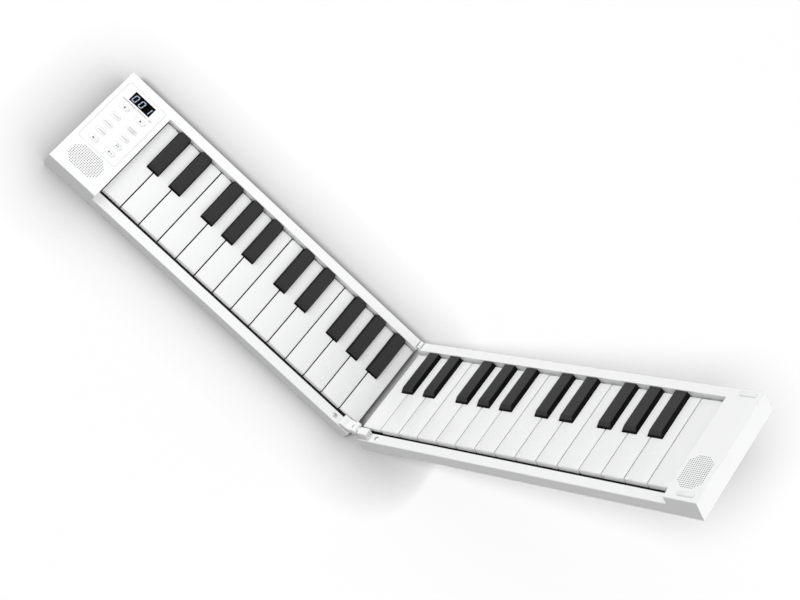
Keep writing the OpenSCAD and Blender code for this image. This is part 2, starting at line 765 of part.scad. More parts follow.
// A flat pouch cell with its protection strip, on the floor of the right cheek
module battery_pack() color("gray") right_half() {
    from_x = half_len - right_cheek_w + inner_wall + 1.5;
    to_x = half_len - wall - lip_fit - lip_t - 0.5;
    edge_z = floor_z + battery_h - battery_edge;
    along_x(from_x, to_x) polygon(concat(
        arc([-battery_back - battery_edge, edge_z], battery_edge, 90, 0),
        [[-battery_back, floor_z]], [[-battery_back - battery_d, floor_z]],
        arc([-battery_back - battery_d + battery_edge, edge_z], battery_edge, 180, 90)));
    block([from_x + 2, -battery_back + battery_strip_d, floor_z],
          [to_x - 2, -battery_back - join, floor_z + battery_strip_h]);
}

// Contact strip under a bank of keys: a long board with one rubber dome for each key
module contact_strip(bank, first_note_x) {
    block([first_note_x + strip_inset, -strip_back, strip_z - strip_t],
          [first_note_x + bank - strip_inset, -strip_front, strip_z]);
}
module dome(x) translate([x, -dome_back, strip_z - join])
    cylinder(r1 = dome_r, r2 = dome_r * 0.6, h = dome_h);
module domes(whites, x0, top_note) for (i = [0:whites - 1]) translate([x0 + i * key_pitch, 0, 0]) {
    note = i % octave;
    last = i == top_note;
    dome((rear_left(note) + rear_right(note, last)) / 2);
    if (has_black(note) && !last) dome(key_pitch + black_offset(note));
}

// ---- Feet and pads ---------------------------------------------------------------------

foot_out = 14;
foot_in = 18;
foot_edge = 12;

module feet() for (x = [foot_in, half_len - foot_out], y = [foot_edge, case_d - foot_edge])
    translate([x, -y, -case_h - foot_h]) {
        cylinder(r1 = foot_r - foot_h / 2, r2 = foot_r, h = foot_h / 2 + join);
        translate([0, 0, foot_h / 2]) cylinder(r = foot_r, h = foot_h / 2);
    }

// Two low pads on the right cheek that meet the left cheek when the keyboard is closed
pad_x = half_len - 13.3;
pad_back = 4.8;
pad_front = case_d - 6.9;
pad_edge = 0.4;
module closing_pads() for (y = [pad_back, pad_front]) translate([pad_x, -y, 0]) {
    linear_extrude(pad_h - pad_edge) rounded_slab(pad_l, pad_w, pad_w / 3);
    translate([0, 0, pad_h - pad_edge - join]) linear_extrude(pad_edge + join)
        rounded_slab(pad_l - 2 * pad_edge, pad_w - 2 * pad_edge, pad_w / 3 - pad_edge);
}

// ---- Drawing the pieces ----------------------------------------------------------------

for (k = [0:left_whites - 1])
    left_half() translate([-key_start - key_bank_left + k * key_pitch, 0, 0])
            white_key(k % octave, false);
for (k = [0:right_whites - 1])
    right_half() translate([key_start + k * key_pitch, 0, 0])
            white_key(k % octave, k == right_whites - 1);
for (k = [0:3])
    left_half()
            translate([-key_start - key_bank_left + floor(k / 2) * octave * key_pitch, 0, 0])
                black_group(k % 2 == 0 ? [0, 1] : [3, 4, 5]);
for (k = [0:3])
    right_half() translate([key_start + floor(k / 2) * octave * key_pitch, 0, 0])
            black_group(k % 2 == 0 ? [0, 1] : [3, 4, 5]);

left_cover();  // left_top_cover
color(white) left_mirrored()  // left_bottom_case
    bottom_shell(key_bank_left, left_cheek_w, [0, 4, 7, 11, 14]);
right_cover();  // right_top_cover
color(white) right_half()  // right_bottom_case
    bottom_shell(key_bank_right, right_cheek_w, [0, 3, 7, 10, 14, 15]);
color(white) left_mirrored()  // front_hinge_left_leaf
    front_leaf(left_block_h, front_hinge_back, front_hinge_front, true);
color(white) right_half()  // front_hinge_right_leaf
    front_leaf(right_block_h, front_hinge_back + 2, front_hinge_front - 1, false);
color(white) left_mirrored()  // back_hinge_left_leaf
    back_leaf(true);
color(white) right_half()  // back_hinge_right_leaf
    back_leaf(false);
hinge_pins();
control_panel();
display_window();
button_pad();
power_button();
color("black") left_mirrored()  // left_speaker_screen
    translate([left_middle, -left_grille_back, 0]) speaker_screen();
color("black") right_half()  // right_speaker_screen
    translate([half_len - right_grille_in, -right_grille_back, 0]) rotate(90)
        speaker_screen();
color("dimgray") left_mirrored()  // left_speaker
    translate([left_middle, -left_grille_back, 0]) speaker();
color("dimgray") right_half()  // right_speaker
    translate([half_len - right_grille_in, -right_grille_back, 0]) rotate(90) speaker();
main_board();
battery_pack();
color("darkgreen") left_half() {  // left_contact_strip
    contact_strip(key_bank_left, -key_start - key_bank_left);
    domes(left_whites, -key_start - key_bank_left, -1);
}
color("darkgreen") right_half() {  // right_contact_strip
    contact_strip(key_bank_right, key_start);
    domes(right_whites, key_start, right_whites - 1);
}
color("gainsboro") left_mirrored() feet();  // left_feet
color("gainsboro") right_half() {  // right_pads
    feet();
    closing_pads();
}
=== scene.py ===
"""The looks of a slim folding piano: two flat halves of white plastic, hinged in the middle.

The left half lies on the table and the right half is folded up from it. A place on a half is
given in millimetres: x from the hinge line, y from the back edge (so it is below 0 on the
piano) and z from the half's top face. The left half lies at x below 0.
"""

import json
import math
import random

import bmesh
import bpy
from mathutils import Matrix, Vector

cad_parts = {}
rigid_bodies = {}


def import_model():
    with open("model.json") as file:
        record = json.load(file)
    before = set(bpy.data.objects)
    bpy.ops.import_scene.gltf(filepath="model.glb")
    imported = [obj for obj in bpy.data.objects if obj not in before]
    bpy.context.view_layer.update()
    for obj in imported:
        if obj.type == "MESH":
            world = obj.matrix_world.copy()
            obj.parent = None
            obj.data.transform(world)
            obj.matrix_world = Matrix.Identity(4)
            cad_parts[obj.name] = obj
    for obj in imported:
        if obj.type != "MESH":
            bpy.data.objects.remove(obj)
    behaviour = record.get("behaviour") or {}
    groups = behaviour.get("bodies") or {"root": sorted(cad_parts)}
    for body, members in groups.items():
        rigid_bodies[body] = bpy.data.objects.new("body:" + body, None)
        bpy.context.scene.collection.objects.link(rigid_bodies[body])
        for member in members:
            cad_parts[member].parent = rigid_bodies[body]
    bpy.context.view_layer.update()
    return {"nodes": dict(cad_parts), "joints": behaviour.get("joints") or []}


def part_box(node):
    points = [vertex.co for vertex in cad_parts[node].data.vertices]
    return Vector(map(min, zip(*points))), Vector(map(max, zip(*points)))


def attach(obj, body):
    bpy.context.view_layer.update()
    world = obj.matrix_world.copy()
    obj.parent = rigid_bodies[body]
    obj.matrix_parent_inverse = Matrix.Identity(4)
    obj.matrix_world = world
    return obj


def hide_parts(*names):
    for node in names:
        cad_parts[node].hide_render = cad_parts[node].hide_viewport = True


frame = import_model()
scene = bpy.context.scene


# ------------------------------------------------------------------------------------------
# The two halves, as the hinges hold them. The pins lie just above the top faces, so that the
# halves close face to face. The left half is flat and the right half stands up at 60 degrees.

MM = 0.001
PIN_RISE = 0.4 * MM
FOLD = math.radians(60)
fold_joint = next(joint for joint in frame["joints"] if joint["name"] == "fold")
back_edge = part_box("left_top_cover")[1].y
pin_place = Vector((fold_joint["pos_m"][0], back_edge, fold_joint["pos_m"][2]))
left_place = Matrix.Translation(pin_place - Vector((0, 0, PIN_RISE))) @ Matrix.Scale(MM, 4)
right_place = (
    Matrix.Translation(pin_place) @ Matrix.Rotation(-FOLD, 4, "Y")
    @ Matrix.Translation((0, 0, -PIN_RISE)) @ Matrix.Scale(MM, 4)
)
PLACES = {"left": left_place, "right": right_place}


# ------------------------------------------------------------------------------------------
# The camera stands where the photographer stood, as the straight edges of both halves give
# it. Its shift is the photograph's own framing.

camera_data = bpy.data.cameras.new("camera")
camera_data.sensor_width = 36.0
camera_data.lens = 74.4832
camera_data.shift_x = 0.0146
camera_data.shift_y = -0.00475
camera_data.clip_end = 20
camera = bpy.data.objects.new("camera", camera_data)
scene.collection.objects.link(camera)
camera_axes = Matrix((
    (0.72449673, 0.55009767, 0.41532762),
    (-0.67854392, 0.67512651, 0.2894518),
    (-0.12117193, -0.49152492, 0.86239238),
)).transposed()
camera_spot = left_place @ Vector((-254.95024, -794.93387, 1414.88077))
camera.matrix_world = Matrix.Translation(camera_spot) @ camera_axes.to_4x4()
scene.camera = camera


# ------------------------------------------------------------------------------------------
# The studio: a white floor that takes the piano's soft shadow, even light from all round, two
# broad lamps at the sides and a third one that only throws the shadow on the floor. Near the
# piano the floor also has a painted shadow: its colour and glow darken where the piano hides
# sky.

scene.view_settings.view_transform = "Standard"
ROOM_LIGHT = 0.85
FLOOR_SIZE = 12
FLOOR_BOUNCE = 0.02  # the floor's paleness for the light that it throws on the piano
FLOOR_PALE, FLOOR_GLOW = 0.12, 0.1  # and for the camera
SHADOW_REACH = 0.07  # how near the piano darkens the floor, in metres
SHADOW_DEPTH, SHADOW_SOFTNESS, DARKEST = 0.78, 0.6, 0.45
SHADOW_LAMP, SHADOW_ANGLE = 24.7, 17
SHADOW_AIM = (0.27, 0, 0.35)
LAMP_SIZE = 2.2
LAMP_AIM = (0, 0, 0.1)
LAMPS = {"left": ((-2.08, 0.2, 1.3), 31), "right": ((1.97, 0.2, 1.47), 19)}


def shader_of(material):
    return material.node_tree.nodes["Principled BSDF"]


def new_material(name, colour=(0.8, 0.8, 0.8), roughness=0.5):
    """A material with its shader."""
    material = bpy.data.materials.new(name)
    material.use_nodes = True
    shader = shader_of(material)
    shader.inputs["Base Color"].default_value = (*colour, 1)
    shader.inputs["Roughness"].default_value = roughness
    return material, shader


def add_node(owner, kind, sockets=None, **settings):
    """A shader node in a material or world, with its settings and its sockets' values."""
    node = owner.node_tree.nodes.new(kind)
    for key, value in settings.items():
        setattr(node, key, value)
    for key, value in (sockets or {}).items():
        node.inputs[key].default_value = value
    return node


def join(owner, source, target):
    owner.node_tree.links.new(source, target)


def reckon(owner, operation, *parts):
    """The result of a sum on two parts, each of them a number or another node's output."""
    node = add_node(owner, "ShaderNodeMath", operation=operation)
    for part, socket in zip(parts, node.inputs):
        if isinstance(part, (int, float)):
            socket.default_value = part
        else:
            join(owner, part, socket)
    return node.outputs[0]


def seen_directly(owner):
    """1 for what the camera sees, in the open or through gloss or glass, and otherwise 0."""
    path = add_node(owner, "ShaderNodeLightPath").outputs
    in_gloss = reckon(owner, "MAXIMUM", path["Is Camera Ray"], path["Is Glossy Ray"])
    return reckon(owner, "MAXIMUM", in_gloss, path["Is Transmission Ray"])


floor_material, floor_shader = new_material("pale_floor", roughness=0.9)
floor_shader.inputs["Specular IOR Level"].default_value = 0.0
floor_shader.inputs["Emission Color"].default_value = (1, 1, 1, 1)
# Painted shadow: the floor's glow and colour darken by how much of the sky the piano hides.
open_sky = add_node(floor_material, "ShaderNodeAmbientOcclusion", {"Distance": SHADOW_REACH},
                    samples=16)
covered = reckon(floor_material, "SUBTRACT", 1.0, open_sky.outputs["AO"])
spread = reckon(floor_material, "POWER", covered, SHADOW_SOFTNESS)
shadow = reckon(floor_material, "MULTIPLY", spread, SHADOW_DEPTH)
unshaded = reckon(floor_material, "SUBTRACT", 1.0, shadow)
lit_enough = reckon(floor_material, "MAXIMUM", unshaded, DARKEST)
floor_seen = seen_directly(floor_material)
shown = reckon(floor_material, "MULTIPLY", lit_enough, floor_seen)
glow = reckon(floor_material, "MULTIPLY", shown, FLOOR_GLOW)
seen_paleness = reckon(floor_material, "MULTIPLY", shown, FLOOR_PALE)
floor_unseen = reckon(floor_material, "SUBTRACT", 1.0, floor_seen)
unseen_paleness = reckon(floor_material, "MULTIPLY", floor_unseen, FLOOR_BOUNCE)
paleness = reckon(floor_material, "ADD", seen_paleness, unseen_paleness)
join(floor_material, glow, floor_shader.inputs["Emission Strength"])
join(floor_material, paleness, floor_shader.inputs["Base Color"])
bpy.ops.mesh.primitive_plane_add(size=FLOOR_SIZE, location=(0, 0, 0))
floor = bpy.context.object
floor.name = "floor"
floor.data.materials.append(floor_material)

world = bpy.data.worlds.new("studio")
world.use_nodes = True
scene.world = world
room = world.node_tree.nodes["Background"]
room.inputs["Color"].default_value = (1, 1, 1, 1)
room_strength = add_node(world, "ShaderNodeMapRange", {"To Min": ROOM_LIGHT, "To Max": 1.0})
join(world, seen_directly(world), room_strength.inputs["Value"])
join(world, room_strength.outputs[0], room.inputs["Strength"])


def add_lamp(name, kind, place, aim, energy):
    """A lamp at place that points at aim."""
    data = bpy.data.lights.new(name, kind)
    data.energy = energy
    lamp = bpy.data.objects.new(name, data)
    scene.collection.objects.link(lamp)
    lamp.location = place
    lamp.rotation_euler = (Vector(aim) - lamp.location).to_track_quat("-Z", "Y").to_euler()
    return lamp


for side, (place, watts) in LAMPS.items():
    side_lamp = add_lamp(f"{side}_lamp", "AREA", place, LAMP_AIM, watts)
    side_lamp.data.shape = "DISK"
    side_lamp.data.size = LAMP_SIZE
shadow_lamp = add_lamp("shadow_lamp", "SUN", camera_spot, SHADOW_AIM, SHADOW_LAMP)
shadow_lamp.data.angle = math.radians(SHADOW_ANGLE)
lit_floor = bpy.data.collections.new("lit_floor")
lit_floor.objects.link(floor)
shadow_lamp.light_linking.receiver_collection = lit_floor


# ------------------------------------------------------------------------------------------
# The four shells: white ABS, injection moulded with a fine satin grain from the tool. Each
# half's cover and bottom clip together along a lip, and screws hold them from underneath.

CLOUD_SCALE, FLOW_SCALE = 28.0, 9.0
MERGE = 1e-6
FLAT_ANGLE, SHARP_ANGLE = 1, 25  # degrees, below which faces join and above which edges round


def moulded(name, colour, roughness, grain=0.35, depth=0.006, uneven=0.05, tint=0.008):
    """Moulded plastic: a fine grain in mm, slow changes of sheen and a trace of tone."""
    material, shader = new_material(name, colour, roughness)
    place = add_node(material, "ShaderNodeTexCoord")
    cloudy = add_node(material, "ShaderNodeTexNoise", {"Scale": CLOUD_SCALE, "Detail": 4.0})
    fine = add_node(material, "ShaderNodeTexNoise", {"Scale": 1000 / grain, "Detail": 2.0})
    flow = add_node(material, "ShaderNodeTexNoise", {"Scale": FLOW_SCALE, "Detail": 1.0})
    for texture in (cloudy, fine, flow):
        join(material, place.outputs["Object"], texture.inputs["Vector"])
    sheen = add_node(material, "ShaderNodeMapRange",
                     {"From Min": 0.3, "From Max": 0.7, "To Min": roughness - uneven,
                      "To Max": roughness + uneven})
    join(material, cloudy.outputs["Fac"], sheen.inputs["Value"])
    join(material, sheen.outputs[0], shader.inputs["Roughness"])
    shade = add_node(material, "ShaderNodeMix", data_type="RGBA")
    shade.inputs[6].default_value = (*[max(0.0, part - tint) for part in colour], 1)
    shade.inputs[7].default_value = (*[min(1.0, part + tint) for part in colour], 1)
    join(material, cloudy.outputs["Fac"], shade.inputs["Factor"])
    join(material, shade.outputs[2], shader.inputs["Base Color"])
    warp = add_node(material, "ShaderNodeBump", {"Strength": 0.25, "Distance": 0.05 * MM})
    skin = add_node(material, "ShaderNodeBump", {"Strength": 0.5, "Distance": depth * MM})
    join(material, flow.outputs["Fac"], warp.inputs["Height"])
    join(material, fine.outputs["Fac"], skin.inputs["Height"])
    join(material, warp.outputs[0], skin.inputs["Normal"])
    join(material, skin.outputs[0], shader.inputs["Normal"])
    return material


def finish_node(node, material):
    """Gives a node that keeps its own shape its material."""
    data = frame["nodes"][node].data
    data.materials.clear()
    data.materials.append(material)


def side_of(body):
    """The half that a body belongs to."""
    if body in PLACES:
        return body
    parents = {joint["child"]: joint["parent"] for joint in frame["joints"]}
    return "right" if "right_half" in (body, parents.get(body)) else "left"


def add_piece(name, shape, body, material, stands_for=None, sharp=32):
    """A finished mesh from a shape in metres, riding on its body."""
    mesh = bpy.data.meshes.new(name)
    shape.to_mesh(mesh)
    shape.free()
    for face in mesh.polygons:
        face.use_smooth = True
    mesh.set_sharp_from_angle(angle=math.radians(sharp))
    piece = bpy.data.objects.new(name, mesh)
    scene.collection.objects.link(piece)
    mesh.materials.append(material)
    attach(piece, body)
    if stands_for:
        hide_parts(stands_for)
    return piece


def rounded(node, body, material, width, choose=None, segments=2, reshape=None):
    """A moulded piece with its edges rounded over by width, which stands for its node.

    choose(a, b) gets an edge's two ends on its half, and says whether that edge is rounded.
    With no choose, all sharp edges are. reshape(point) moves a corner on its half first.
    """
    place = PLACES[side_of(body)]
    to_half = place.inverted()
    shape = bmesh.new()
    shape.from_mesh(frame["nodes"][node].data)
    bmesh.ops.remove_doubles(shape, verts=shape.verts, dist=MERGE)
    bmesh.ops.dissolve_limit(shape, angle_limit=math.radians(FLAT_ANGLE), verts=shape.verts,
                             edges=shape.edges)
    if reshape:
        for vert in shape.verts:
            vert.co = place @ reshape(to_half @ vert.co)
    edges = [
        edge for edge in shape.edges
        if len(edge.link_faces) == 2 and edge.calc_face_angle(0) > math.radians(SHARP_ANGLE)
        and (choose is None or choose(to_half @ edge.verts[0].co, to_half @ edge.verts[1].co))
    ]
    bmesh.ops.bevel(shape, geom=edges, offset=width * MM, segments=segments, profile=0.5,
                    affect="EDGES", clamp_overlap=True)
    return add_piece(node + "_rounded", shape, body, material, stands_for=node)


white_plastic = moulded("white_plastic", (0.795, 0.797, 0.8), 0.42)
for name in ("left_top_cover", "left_bottom_case", "right_top_cover", "right_bottom_case"):
    finish_node(name, white_plastic)


# ------------------------------------------------------------------------------------------
# The screws: small steel cross-head screws beside the front hinge, in recesses of the front
# rails, and larger ones underneath that hold each half's shells together.

steel, steel_shader = new_material("screw_steel", (0.62, 0.62, 0.63), 0.28)
steel_shader.inputs["Metallic"].default_value = 1.0
turned = add_node(steel, "ShaderNodeTexNoise", {"Scale": 900.0, "Detail": 3.0})
turned_sheen = add_node(steel, "ShaderNodeMapRange", {"To Min": 0.2, "To Max": 0.42})
join(steel, turned.outputs["Fac"], turned_sheen.inputs["Value"])
join(steel, turned_sheen.outputs[0], steel_shader.inputs["Roughness"])


def ring_of(shape, radius, z, steps=24):
    """A round loop of points."""
    return [shape.verts.new((radius * math.cos(math.tau * k / steps),
                             radius * math.sin(math.tau * k / steps), z))
            for k in range(steps)]


def bridge(shape, lower, upper):
    """Four-sided faces between two rings of as many points."""
    count = len(lower)
    for k in range(count):
        after = (k + 1) % count
        shape.faces.new((lower[k], lower[after], upper[after], upper[k]))


HEAD_PROFILE = [(1, -0.6), (1, 0.35), (0.93, 0.75), (0.78, 0.95)]
CROSS_ARM, CROSS_SLOT, CROSS_TAPER, CROSS_FLOOR = 0.56, 0.13, 0.7, 0.2


def screw(name, place, body, radius, height):
    """A pan-head screw that stands on place, with a tapered cross pressed into its head."""
    shape = bmesh.new()
    rim = [ring_of(shape, radius * wide, height * high) for wide, high in HEAD_PROFILE]
    for lower, upper in zip(rim, rim[1:]):
        bridge(shape, lower, upper)
    arm, slot = CROSS_ARM * radius, CROSS_SLOT * radius
    corner = [(arm, -slot), (arm, slot), (slot, slot)]
    cross = []
    for turn in range(4):
        angle = turn * math.pi / 2
        cross += [(x * math.cos(angle) - y * math.sin(angle),
                   x * math.sin(angle) + y * math.cos(angle)) for x, y in corner]
    mouth = [shape.verts.new((x, y, height)) for x, y in cross]
    floor_ring = [shape.verts.new((CROSS_TAPER * x, CROSS_TAPER * y, CROSS_FLOOR * height))
                  for x, y in cross]
    bridge(shape, mouth, floor_ring)
    shape.faces.new(floor_ring)
    loops = [[ring[k], ring[(k + 1) % len(ring)]] for ring in (rim[-1], mouth)
             for k in range(len(ring))]
    edges = [shape.edges.get(pair) for pair in loops]
    bmesh.ops.triangle_fill(shape, edges=edges, use_beauty=True, use_dissolve=False)
    bmesh.ops.recalc_face_normals(shape, faces=shape.faces)
    shape.transform(place)
    return add_piece(name, shape, body, steel)


SCREW_X, SCREW_Y = 22, -119.4
RAIL_SCREW_R, RAIL_SCREW_H = 2.0, 1.15
FRONT_RAIL_TOP, RECESS_DEPTH = -8.9, 1.2
RECESS_FLOOR = FRONT_RAIL_TOP - RECESS_DEPTH
for side, sign, turn in (("left", -1, 0.5), ("right", 1, 1.1)):
    spot = Matrix.Translation((sign * SCREW_X, SCREW_Y, RECESS_FLOOR))
    screw(f"{side}_rail_screw", PLACES[side] @ spot @ Matrix.Rotation(turn, 4, "Z"),
          f"{side}_half", RAIL_SCREW_R, RAIL_SCREW_H)
UNDERSIDE = -21.1
SHELL_SCREW_R, SHELL_SCREW_H = 2.6, 0.5
UNDER_SCREWS = [(30, -14), (30, -111), (190, -14), (190, -111), (358, -30), (358, -96)]
turns = random.Random(4)
for side, sign in (("left", -1), ("right", 1)):
    for number, (x, y) in enumerate(UNDER_SCREWS, 1):
        spot = Matrix.Translation((sign * x, y, UNDERSIDE)) @ Matrix.Rotation(math.pi, 4, "X")
        screw(f"{side}_shell_screw_{number}",
              PLACES[side] @ spot @ Matrix.Rotation(turns.random() * 3, 4, "Z"),
              f"{side}_half", SHELL_SCREW_R, SHELL_SCREW_H)


# ------------------------------------------------------------------------------------------
# The hinges: moulded leaves in the case's white plastic on turned steel pins. The front
# hinge's blocks are screwed to the rails, and the back hinge's plates lie inside the covers.

LEAF_ROUNDING = 0.22
for name in ("front_hinge_left_leaf", "front_hinge_right_leaf", "back_hinge_left_leaf",
             "back_hinge_right_leaf"):
    half = "left_half" if "left" in name else "right_half"
    rounded(name, half, white_plastic, LEAF_ROUNDING)
finish_node("hinge_pins", steel)


# ------------------------------------------------------------------------------------------
# The white keys: glossy caps of white plastic, hollow underneath, with their edges lightly
# rounded. They hook onto the case's pivot bar under the back rail. Their fronts are painted a
# paler white than their tops, as painted light.

CAP_BASE, CAP_LIP = -9.2, -9.0
RAIL_EDGE = -12
KEY_FRONT, FRONT_WALL = -111.6, 2
KEY_PITCH = 23.5
BANK_START = {"left": -329.2, "right": 0.2}
BLACK_SHIFT = {0: -1.5, 1: 2.7, 3: -2.5, 4: 0.6, 5: 3.7}  # by the white key on its left
BLACK_PLACES = {
    side: [start + (7 * octave + note + 1) * KEY_PITCH + shift
           for octave in (0, 1) for note, shift in BLACK_SHIFT.items()]
    for side, start in BANK_START.items()
}
NOTCH_HALF, NOTCH_FRONT = 8.35, -64.4
HINGE_SEAT = 24
NEAR, NOTCH_NEAR, GAP_NEAR = 0.1, 0.05, 0.6  # how near its edge a corner that moves lies
LIP_MORE = 1.4  # how far corners move: the lips, the notches and the sides
NOTCH_CLOSER = {"left": (0.8, -1.1), "right": (0.3, -0.3)}
NOTCH_BACK = 0.9
GAP_MORE = {"left": 0.15, "right": 0}
WHITE_ROUNDING, BLACK_ROUNDING = 0.35, 0.45
FACING = 0.8  # how nearly a face points a way, to take that way's material


def fitted_cap(side):
    """Moves a white cap's corners. Its front reaches down further, except over the hinge's
    seat, its notches fit the black keys closely, and its sides leave a gap that shows."""
    from_left, from_right = NOTCH_CLOSER[side]

    def move(corner):
        if (corner.y < KEY_FRONT + FRONT_WALL and abs(corner.z - CAP_LIP) < NEAR
                and abs(corner.x) > HINGE_SEAT):
            corner.z -= LIP_MORE
        from_gap = (corner.x - BANK_START[side] + KEY_PITCH / 2) % KEY_PITCH - KEY_PITCH / 2
        if abs(from_gap) < GAP_NEAR:
            corner.x += math.copysign(GAP_MORE[side], from_gap)
        if NOTCH_FRONT - NEAR < corner.y < RAIL_EDGE:
            for middle in BLACK_PLACES[side]:
                if abs(corner.x - middle + NOTCH_HALF) < NOTCH_NEAR:
                    corner.x += from_left
                elif abs(corner.x - middle - NOTCH_HALF) < NOTCH_NEAR:
                    corner.x += from_right
            if corner.y < NOTCH_FRONT + NEAR:
                corner.y += NOTCH_BACK
        return corner

    return move


key_white = moulded("key_white", (0.775, 0.777, 0.78), 0.24, depth=0.002, tint=0.005)
# Painted light: the key fronts take a paler white than the tops, for the light falling on
# them.
front_painted_light = moulded("front_painted_light", (0.93, 0.932, 0.935), 0.24, depth=0.002, tint=0.005)
for number in range(1, 30):
    name = f"white_key_{number}"
    keys = rounded(name, name, key_white, WHITE_ROUNDING,
                   lambda a, b: min(a.z, b.z) > CAP_BASE and max(a.y, b.y) < RAIL_EDGE, 3,
                   fitted_cap(side_of(name)))
    keys.data.materials.append(front_painted_light)
    for face in keys.data.polygons:
        face.material_index = 1 if face.normal.y < -FACING else 0


# ------------------------------------------------------------------------------------------
# The black keys: black caps with grained satin tops, smooth sloping sides and a front that
# falls away in two slopes. Each group of two or three is moulded on one comb. All but the
# tops take a darker black with less gloss, as painted shade.

key_black = moulded("key_black", (0.019, 0.019, 0.02), 0.5, grain=0.5, depth=0.03, tint=0.003)
# Painted shade: the faces that don't point up take a darker black than the tops.
side_painted_shade = moulded("side_painted_shade", (0.004, 0.004, 0.0045), 0.3, depth=0.002, tint=0.001)
for black, gloss in ((key_black, 0.25), (side_painted_shade, 0.08)):
    shader_of(black).inputs["Specular IOR Level"].default_value = gloss
BLACK_SIDE = (4.9, 7.8)
BLACK_BACK, BLACK_NOSE = -11, -58
COMB_TOP = CAP_BASE + 0.3
SLIMMER = {"left": (0.5, -0.8), "right": (0, 0)}
NOSE_BACK = 0.8


def slim_key(side):
    """Moves a black cap's corners, so that it stands clear of the notches around it."""
    left_move, right_move = SLIMMER[side]
    inner, outer = BLACK_SIDE

    def move(corner):
        if corner.z > CAP_BASE and corner.y < BLACK_BACK:
            for middle in BLACK_PLACES[side]:
                if inner < middle - corner.x < outer:
                    corner.x += left_move
                elif inner < corner.x - middle < outer:
                    corner.x += right_move
            if corner.y < BLACK_NOSE:
                corner.y += NOSE_BACK
        return corner

    return move


for number in range(1, 9):
    name = f"black_keys_{number}"
    keys = rounded(name, name, key_black, BLACK_ROUNDING,
                   lambda a, b: min(a.z, b.z) > COMB_TOP and max(a.y, b.y) < BLACK_BACK, 3,
                   slim_key(side_of(name)))
    keys.data.materials.append(side_painted_shade)
    up = PLACES[side_of(name)].to_3x3() @ Vector((0, 0, 1))
    for face in keys.data.polygons:
        face.material_index = 0 if face.normal.dot(up.normalized()) > FACING else 1


# ------------------------------------------------------------------------------------------
# The felt that the key fronts land on: a strip of black needle felt, cut from a roll and
# glued along the bottom shell behind each front rail. Its black is partly painted shade: it
# shows as the dark line of shade there. Black sheets on the shell's floor under the keys are
# painted shade, seen through the gaps between the keys.

# Painted shade: the felt and the sheets are black to stand for the shade in the slots and
# gaps.
felt_and_shade_black, felt_shader = new_material("felt_and_shade_black", (0.05, 0.05, 0.052), 0.95)
felt_shader.inputs["Specular IOR Level"].default_value = 0.1
fibres = add_node(felt_and_shade_black, "ShaderNodeTexNoise", {"Scale": 2600.0, "Detail": 5.0})
fluff = add_node(felt_and_shade_black, "ShaderNodeBump", {"Strength": 1.0, "Distance": 0.15 * MM})
join(felt_and_shade_black, fibres.outputs["Fac"], fluff.inputs["Height"])
join(felt_and_shade_black, fluff.outputs[0], felt_shader.inputs["Normal"])
FELT_TOP, FELT_BASE = -14.6, -18.6
FELT_FRONT, FELT_BACK = -114.7, -101
BANK_SPAN = {"left": (-329, -2.2), "right": (2.2, 353.5)}
FELT_STEP, FELT_DIP, FELT_SOFT = 2.5, 0.12, 0.8
SHEET_STEPS, SHEET_T, SHEET_CURL = 40, 0.3, 0.15
SHEET_BACK, SHEET_FRONT = (-36, -12), (-100.6, -69)


def close_bar(shape, rows):
    """Walls between the rows of points along a bar, and its two ends."""
    for near, far in zip(rows, rows[1:]):
        bridge(shape, near, far)
    shape.faces.new(rows[0])
    shape.faces.new(list(reversed(rows[-1])))
    bmesh.ops.recalc_face_normals(shape, faces=shape.faces)


def felt_strip(side, from_x, to_x):
    """A long pad with a slightly wavy crown and soft long edges."""
    shape = bmesh.new()
    dents = random.Random(11)
    count = round((to_x - from_x) / FELT_STEP)
    profile = [(FELT_BACK, FELT_BASE), (FELT_BACK, FELT_TOP - FELT_SOFT),
               (FELT_BACK - FELT_SOFT, FELT_TOP), (-106, FELT_TOP), (-110, FELT_TOP),
               (FELT_FRONT + 0.6, FELT_TOP), (FELT_FRONT, FELT_TOP - 0.6),
               (FELT_FRONT, FELT_BASE)]
    rows = []
    for k in range(count + 1):
        x = from_x + (to_x - from_x) * k / count
        dip = FELT_DIP * dents.random()
        rows.append([shape.verts.new((x, y, z if z == FELT_BASE else z - dip))
                     for y, z in profile])
    close_bar(shape, rows)
    shape.transform(PLACES[side])
    return add_piece(f"{side}_felt", shape, f"{side}_half", felt_and_shade_black, sharp=60)


def painted_shade_sheet(name, side, from_x, to_x, from_y, to_y):
    """A black sheet on the bottom shell's floor, with its edges a little curled, as painted
    shade.
    """
    shape = bmesh.new()
    rows = []
    top = FELT_BASE + SHEET_T
    for k in range(SHEET_STEPS + 1):
        x = from_x + (to_x - from_x) * k / SHEET_STEPS
        curl = SHEET_CURL * math.sin(k * 0.7) ** 2
        rows.append([shape.verts.new((x, y, z)) for y, z in (
            (from_y, FELT_BASE), (from_y, top + curl), ((from_y + to_y) / 2, top),
            (to_y, top + curl), (to_y, FELT_BASE))])
    close_bar(shape, rows)
    shape.transform(PLACES[side])
    add_piece(name, shape, f"{side}_half", felt_and_shade_black)


for side, span in BANK_SPAN.items():
    felt_strip(side, *span)
    painted_shade_sheet(f"{side}_back_shade_sheet", side, *span, *SHEET_BACK)
    painted_shade_sheet(f"{side}_front_shade_sheet", side, *span, *SHEET_FRONT)


# ------------------------------------------------------------------------------------------
# The loudspeakers, under holes drilled through the covers: black frames with a cone, and a
# woven dust screen glued behind the holes.

